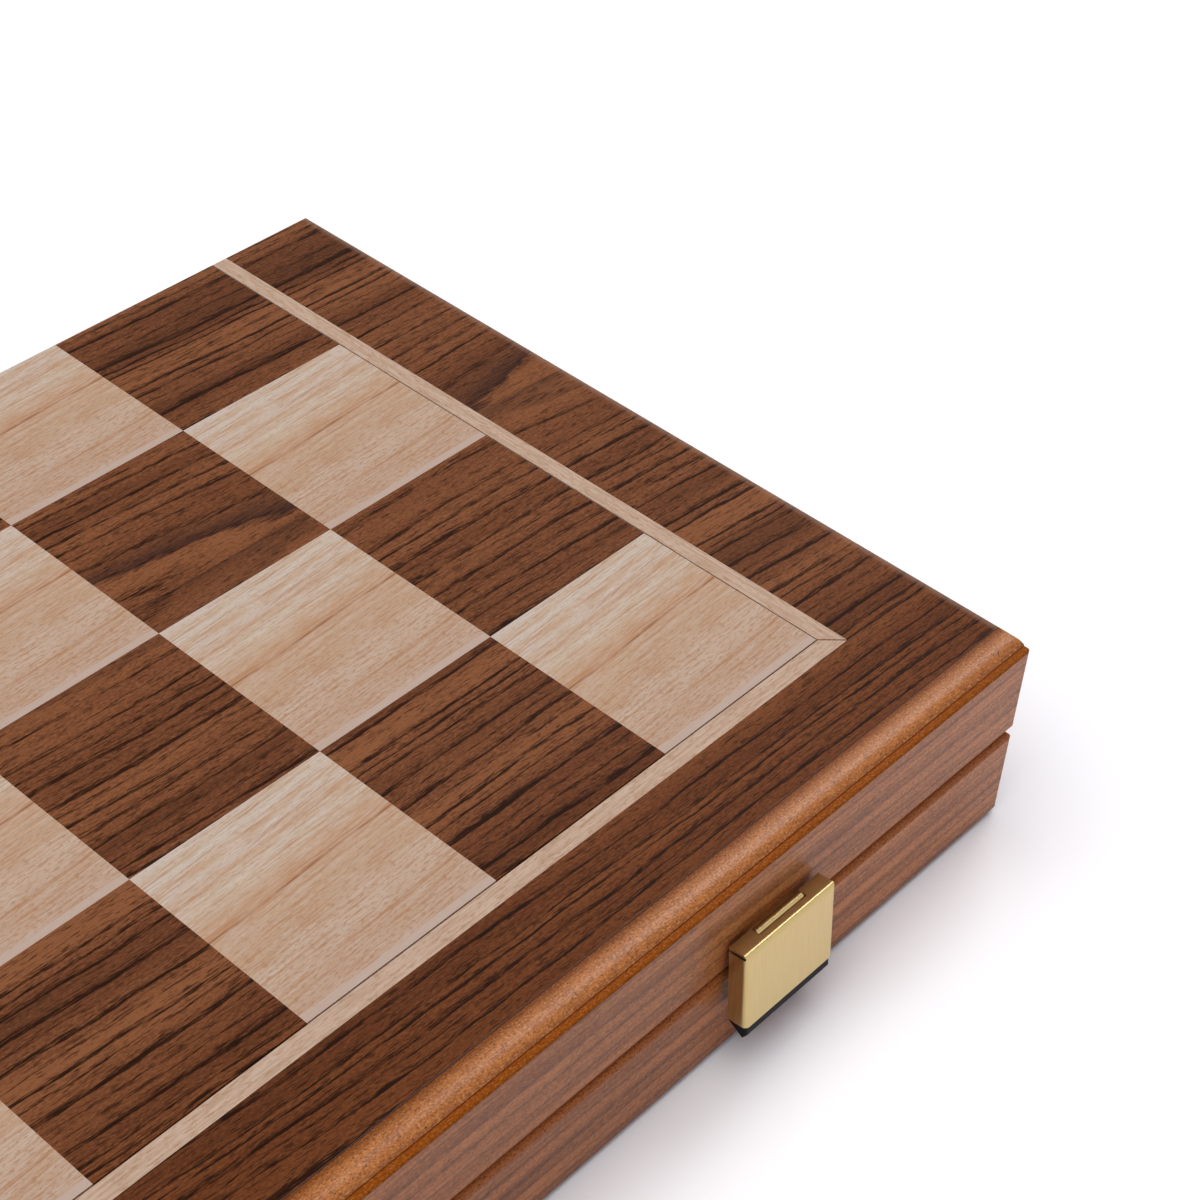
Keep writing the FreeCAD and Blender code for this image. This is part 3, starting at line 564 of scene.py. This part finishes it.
# Floor: white paper sweep that keeps the soft shadow, a little lifted for the eye and for mirror rays
floorLook = {
    "reach": 6.0, "drop": 0.1, "size": (1.5, 1.5, 1.5), "tones": [(0.3, "#fafafa"), (0.7, "#fcfcfc")],
    "lift": "#e8faff", "liftShare": 0.065,
}
reach = floorLook["reach"]
floorMesh = bpy.data.meshes.new("floor")
floorCorners = [(-reach, -reach, 0), (reach, -reach, 0), (reach, reach, 0), (-reach, reach, 0)]
floorMesh.from_pydata(floorCorners, [], [(0, 1, 2, 3)])
floor = bpy.data.objects.new("floor", floorMesh)
floor.location.z = cadBounds[0].z - floorLook["drop"] * mm
bpy.context.scene.collection.objects.link(floor)
paper, add, surface = newMaterial("white paper", Roughness=1.0, Specular_IOR_Level=0.0)
fibres = grain(add, grainSpace(add), floorLook["size"])
plug(surface["Base Color"], add("ValToRGB", fibres, stops=floorLook["tones"]))
rays = add("LightPath").outputs
seen = add("Math", rays["Is Camera Ray"], rays["Is Glossy Ray"], operation="MAXIMUM")
seen = add("Math", seen, rays["Is Transmission Ray"], operation="MAXIMUM")
plug(surface["Emission Color"], floorLook["lift"])
plug(surface["Emission Strength"], add("Math", seen, floorLook["liftShare"], operation="MULTIPLY"))
floorMesh.materials.append(paper)

# Light: a wide soft source overhead, leaning to the left, and a strip at the right for the sheen of the bead
lampLooks = {
    "overhead softbox": {"energy": 2.6, "angle": 62, "lean": (-3, -18, 0)},
    "strip softbox": {"energy": 0.6, "angle": 22, "lean": (-12, 36, 0)},
}
for name, look in lampLooks.items():
    lamp = bpy.data.lights.new(name, "SUN")
    lamp.energy = look["energy"]
    lamp.angle = math.radians(look["angle"])
    lampObject = bpy.data.objects.new(name, lamp)
    lampObject.rotation_euler = [math.radians(turn) for turn in look["lean"]]
    bpy.context.scene.collection.objects.link(lampObject)

# Room: dim violet fill, and for mirror rays a white studio low down and in front under a grey ceiling
roomLook = {
    "fill": "#584e62", "ceiling": "#8a858b", "white": "#ffffff",
    "lowSpan": (0.5, 0.3), "frontSpan": (-0.1, -0.35),
}
room = bpy.data.worlds.new("room")
room.use_nodes = True
bpy.context.scene.world = room
add = partial(addNode, room.node_tree)
rays = add("LightPath").outputs
heading = add("SeparateXYZ", add("TexCoord").outputs["Generated"])
lowDown = add("MapRange", heading.outputs["Z"], *roomLook["lowSpan"], **soft)
inFront = add("MapRange", heading.outputs["Y"], *roomLook["frontSpan"], **soft)
whiteWall = add("Math", lowDown, inFront, operation="MAXIMUM")
studio = add("Mix", whiteWall, roomLook["ceiling"], roomLook["white"], **inColour)
mirrored = add("Math", rays["Is Glossy Ray"], rays["Is Transmission Ray"], operation="MAXIMUM")
lit = add("Mix", mirrored, roomLook["fill"], studio, **inColour)
backdrop = add("Mix", rays["Is Camera Ray"], lit, roomLook["white"], **inColour)
plug(room.node_tree.nodes["Background"].inputs["Color"], backdrop)

# Camera: where the photograph was taken from
cameraLook = {
    "lens": 77.3987, "sensor": 36.0, "near": 0.01,
    "place": (-0.125642, -0.255065, 0.348937), "turn": (48.72575, -3.20066, -47.73069),
}
cameraData = bpy.data.cameras.new("camera")
cameraData.lens = cameraLook["lens"]
cameraData.sensor_width = cameraLook["sensor"]
cameraData.clip_start = cameraLook["near"]
camera = bpy.data.objects.new("camera", cameraData)
camera.location = cameraLook["place"]
camera.rotation_euler = [math.radians(turn) for turn in cameraLook["turn"]]
bpy.context.scene.collection.objects.link(camera)
bpy.context.scene.camera = camera
bpy.context.scene.view_settings.view_transform = "Standard"
print("stage, light and camera done")
